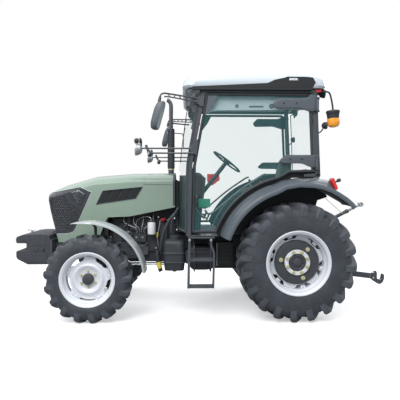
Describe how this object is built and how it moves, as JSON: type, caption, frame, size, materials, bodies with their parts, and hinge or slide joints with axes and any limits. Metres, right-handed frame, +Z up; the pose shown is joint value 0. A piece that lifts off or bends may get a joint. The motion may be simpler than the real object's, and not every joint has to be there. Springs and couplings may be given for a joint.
{
  "type": "farm tractor",
  "caption": "Compact four-wheel-drive farm tractor with a glazed cab, front weights and a rear three-point linkage.",
  "frame": {"origin": "on the ground under the middle of the bounding box", "axes": "+X ahead, +Y to the tractor's left, +Z up"},
  "size_m": [4.06, 1.8728, 2.58],
  "materials": {
    "tyre_rubber": "worn black rubber",
    "rim_silver": "satin silver paint",
    "black_metal": "satin black paint",
    "sage_green": "gloss sage green paint",
    "roof_white": "gloss white moulding",
    "black_plastic": "moulded black plastic",
    "fender_grey": "grey moulded plastic",
    "cab_glass": "clear green-tinted glass",
    "engine_black": "black painted castings",
    "engine_fittings": "mixed painted fittings",
    "seat_fabric": "black woven seat cloth",
    "lamps": "lamp housings and lenses",
    "beacon_amber": "amber dome on a black base",
    "bright_steel": "bare and zinc-plated steel"
  },
  "bodies": {
    "chassis": {"beacon": "beacon_amber", "cab_floor": "black_metal", "cab_frame": "black_metal", "dashboard": "black_plastic", "door_hinges": "black_metal", "engine": "engine_black", "engine_fittings": "engine_fittings", "exhaust": "black_metal", "front_axle": "engine_black", "front_frame": "black_metal", "front_weights": "black_metal", "fuel_tank": "black_plastic", "gearbox": "engine_black", "hitch_frame": "bright_steel", "lamps": "lamps", "mirrors": "black_plastic", "rear_axle": "engine_black", "rear_fender_left": "black_plastic", "rear_fender_right": "black_plastic", "roof": "roof_white", "seat": "seat_fabric", "seat_base": "black_plastic", "steps": "black_metal", "windscreen": "cab_glass"},
    "rear_wheel_left": {"rear_tyre_left": "tyre_rubber", "rear_rim_left": "rim_silver", "rear_hub_left": "black_metal"},
    "rear_wheel_right": {"rear_tyre_right": "tyre_rubber", "rear_rim_right": "rim_silver", "rear_hub_right": "black_metal"},
    "steer_knuckle_left": {"knuckle_left": "engine_black", "front_fender_left": "fender_grey"},
    "steer_knuckle_right": {"knuckle_right": "engine_black", "front_fender_right": "fender_grey"},
    "front_wheel_left": {"front_tyre_left": "tyre_rubber", "front_rim_left": "rim_silver"},
    "front_wheel_right": {"front_tyre_right": "tyre_rubber", "front_rim_right": "rim_silver"},
    "tie_rod": {"tie_rod": "bright_steel"},
    "steering_wheel": {"steering_wheel": "black_plastic"},
    "door_left": {"door_frame_left": "black_metal", "door_glass_left": "cab_glass"},
    "door_right": {"door_frame_right": "black_metal", "door_glass_right": "cab_glass"},
    "rear_window": {"rear_window": "cab_glass"},
    "bonnet": {"bonnet": "sage_green", "grille": "black_plastic", "bonnet_vents": "black_plastic"},
    "lift_arms": {"lift_arms": "black_metal"},
    "lift_rod_left": {"lift_rod_left": "bright_steel"},
    "lift_rod_right": {"lift_rod_right": "bright_steel"},
    "lower_link_left": {"lower_link_left": "black_metal"},
    "lower_link_right": {"lower_link_right": "black_metal"},
    "top_link": {"top_link": "black_metal"}
  },
  "joints": [
    {"name": "rear_wheel_left_spin", "type": "hinge", "parent": "chassis", "child": "rear_wheel_left", "pos_m": [-0.97, 0.65, 0.60544], "axis": [0, 1, 0], "continuous": true},
    {"name": "rear_wheel_right_spin", "type": "hinge", "parent": "chassis", "child": "rear_wheel_right", "pos_m": [-0.97, -0.65, 0.60544], "axis": [0, 1, 0], "continuous": true},
    {"name": "steer_left", "type": "hinge", "parent": "chassis", "child": "steer_knuckle_left", "pos_m": [1.14, 0.52, 0.44476], "axis": [0, 0, 1], "range_deg": [-38, 38]},
    {"name": "steer_right", "type": "hinge", "parent": "chassis", "child": "steer_knuckle_right", "pos_m": [1.14, -0.52, 0.44476], "axis": [0, 0, 1], "range_deg": [-38, 38]},
    {"name": "front_wheel_left_spin", "type": "hinge", "parent": "steer_knuckle_left", "child": "front_wheel_left", "pos_m": [1.14, 0.68, 0.44476], "axis": [0, 1, 0], "continuous": true},
    {"name": "front_wheel_right_spin", "type": "hinge", "parent": "steer_knuckle_right", "child": "front_wheel_right", "pos_m": [1.14, -0.68, 0.44476], "axis": [0, 1, 0], "continuous": true},
    {"name": "tie_rod_swing", "type": "hinge", "parent": "steer_knuckle_left", "child": "tie_rod", "pos_m": [0.98, 0.52, 0.44476], "axis": [0, 0, 1], "range_deg": [-38, 38]},
    {"name": "steering_wheel_turn", "type": "hinge", "parent": "chassis", "child": "steering_wheel", "pos_m": [-0.32, 0, 1.666], "axis": [-0.6157, 0, 0.788], "range_deg": [-380, 380]},
    {"name": "door_left_swing", "type": "hinge", "parent": "chassis", "child": "door_left", "pos_m": [-1.184, 0.679, 1.9], "axis": [0, 0, 1], "range_deg": [0, 75]},
    {"name": "door_right_swing", "type": "hinge", "parent": "chassis", "child": "door_right", "pos_m": [-1.184, -0.679, 1.9], "axis": [0, 0, -1], "range_deg": [0, 75]},
    {"name": "rear_window_swing", "type": "hinge", "parent": "chassis", "child": "rear_window", "pos_m": [-1.202, 0, 2.318], "axis": [0, 1, 0], "range_deg": [0, 60]},
    {"name": "bonnet_lift", "type": "hinge", "parent": "chassis", "child": "bonnet", "pos_m": [0.305, 0, 1.478], "axis": [0, -1, 0], "range_deg": [0, 50]},
    {"name": "lift", "type": "hinge", "parent": "chassis", "child": "lift_arms", "pos_m": [-1.09, 0, 0.96], "axis": [0, 1, 0], "range_deg": [-12, 32]},
    {"name": "lower_link_left_swing", "type": "hinge", "parent": "chassis", "child": "lower_link_left", "pos_m": [-1.09, 0.38, 0.49], "axis": [0, 1, 0], "range_deg": [-12, 32]},
    {"name": "lower_link_right_swing", "type": "hinge", "parent": "chassis", "child": "lower_link_right", "pos_m": [-1.09, -0.38, 0.49], "axis": [0, 1, 0], "range_deg": [-12, 32]},
    {"name": "lift_rod_left_swing", "type": "hinge", "parent": "lift_arms", "child": "lift_rod_left", "pos_m": [-1.42, 0.38, 0.918], "axis": [0, 1, 0], "range_deg": [-32, 12]},
    {"name": "lift_rod_right_swing", "type": "hinge", "parent": "lift_arms", "child": "lift_rod_right", "pos_m": [-1.42, -0.38, 0.918], "axis": [0, 1, 0], "range_deg": [-32, 12]},
    {"name": "top_link_swing", "type": "hinge", "parent": "chassis", "child": "top_link", "pos_m": [-1.3, 0, 0.85], "axis": [0, 1, 0], "range_deg": [-40, 30]}
  ],
  "couplings": [
    {"joint": "steer_right", "follows": "steer_left", "ratio": 1},
    {"joint": "tie_rod_swing", "follows": "steer_left", "ratio": -1},
    {"joint": "steering_wheel_turn", "follows": "steer_left", "ratio": 10},
    {"joint": "lower_link_left_swing", "follows": "lift", "ratio": 1},
    {"joint": "lower_link_right_swing", "follows": "lift", "ratio": 1},
    {"joint": "lift_rod_left_swing", "follows": "lift", "ratio": -1},
    {"joint": "lift_rod_right_swing", "follows": "lift", "ratio": -1}
  ]
}
